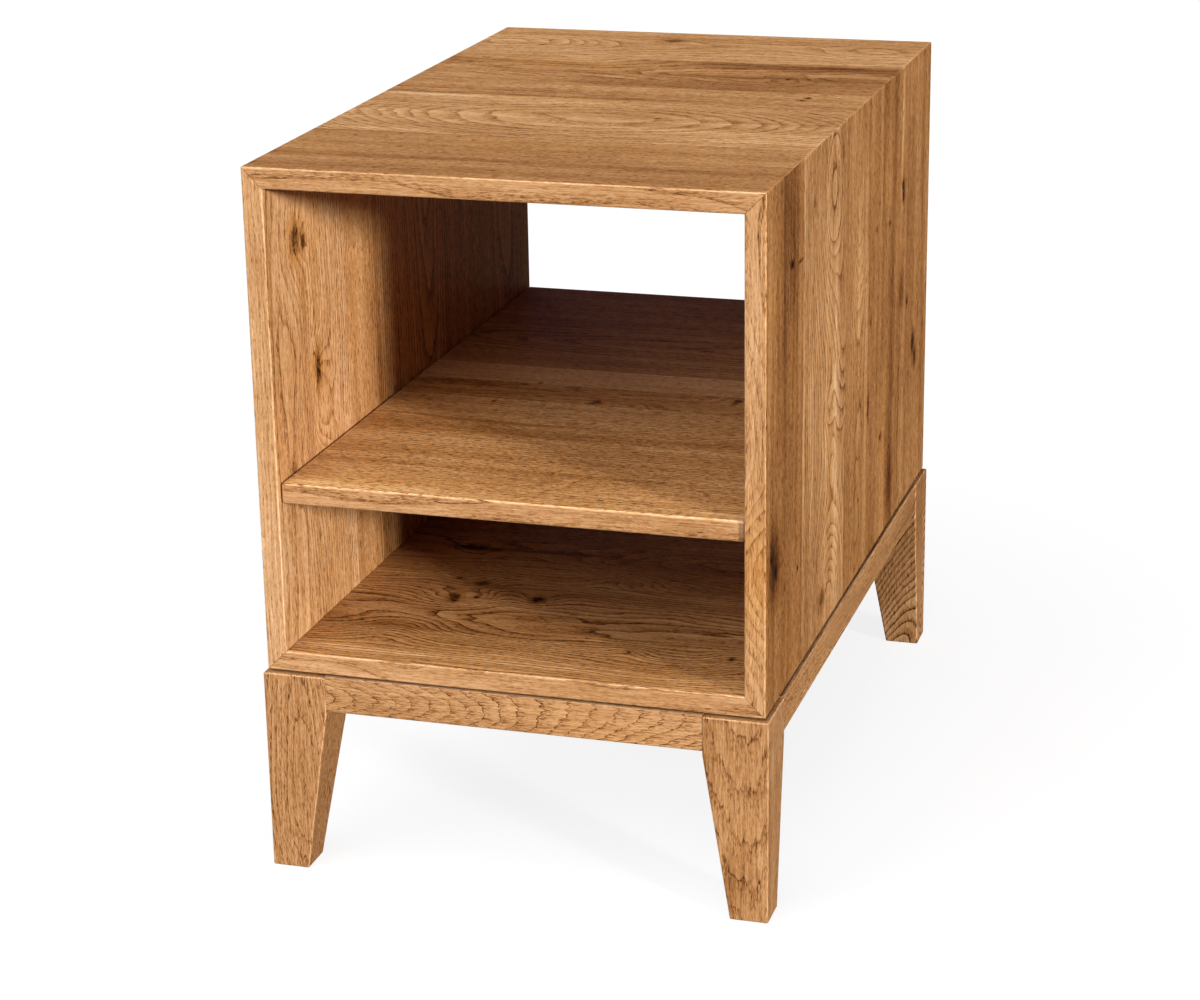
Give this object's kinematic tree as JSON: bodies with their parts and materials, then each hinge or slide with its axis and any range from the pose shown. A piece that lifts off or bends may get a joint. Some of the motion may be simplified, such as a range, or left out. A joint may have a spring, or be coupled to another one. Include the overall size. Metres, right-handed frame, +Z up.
{
  "type": "bedside cabinet",
  "caption": "Open bedside cabinet in knotty oak: mitred box open at front and back with a shelf, on a separate frame of rails and tapered legs.",
  "frame": {"origin": "on the floor, under the middle of the cabinet", "axes": "+X to the right seen from the front, -Y the front, +Y the back, +Z up"},
  "size_m": [0.457, 0.707, 0.638],
  "materials": {
    "oak_carcase": "oiled satin, knotty oak",
    "oak_shelf": "oiled satin, knotty oak",
    "oak_base": "oiled satin oak",
    "beech": "bare, planed",
    "zinc_steel": "zinc plated"
  },
  "bodies": {
    "root": {"bottom_board_1": "oak_carcase", "bottom_board_2": "oak_carcase", "bottom_board_3": "oak_carcase", "bottom_board_4": "oak_carcase", "bottom_board_5": "oak_carcase", "cleat_carcase_screws": "zinc_steel", "cleat_left": "beech", "cleat_rail_screws": "zinc_steel", "cleat_right": "beech", "left_side_board_1": "oak_carcase", "left_side_board_2": "oak_carcase", "left_side_board_3": "oak_carcase", "left_side_board_4": "oak_carcase", "left_side_board_5": "oak_carcase", "leg_back_left": "oak_base", "leg_back_right": "oak_base", "leg_dowels": "beech", "leg_front_left": "oak_base", "leg_front_right": "oak_base", "mitre_tongue_lower_left": "beech", "mitre_tongue_lower_right": "beech", "mitre_tongue_upper_left": "beech", "mitre_tongue_upper_right": "beech", "rail_back": "oak_base", "rail_front": "oak_base", "rail_left": "oak_base", "rail_right": "oak_base", "right_side_board_1": "oak_carcase", "right_side_board_2": "oak_carcase", "right_side_board_3": "oak_carcase", "right_side_board_4": "oak_carcase", "right_side_board_5": "oak_carcase", "shelf_board_1": "oak_shelf", "shelf_board_2": "oak_shelf", "shelf_board_3": "oak_shelf", "shelf_board_4": "oak_shelf", "shelf_board_5": "oak_shelf", "shelf_board_6": "oak_shelf", "shelf_dowels": "beech", "top_board_1": "oak_carcase", "top_board_2": "oak_carcase", "top_board_3": "oak_carcase", "top_board_4": "oak_carcase", "top_board_5": "oak_carcase"}
  },
  "joints": []
}
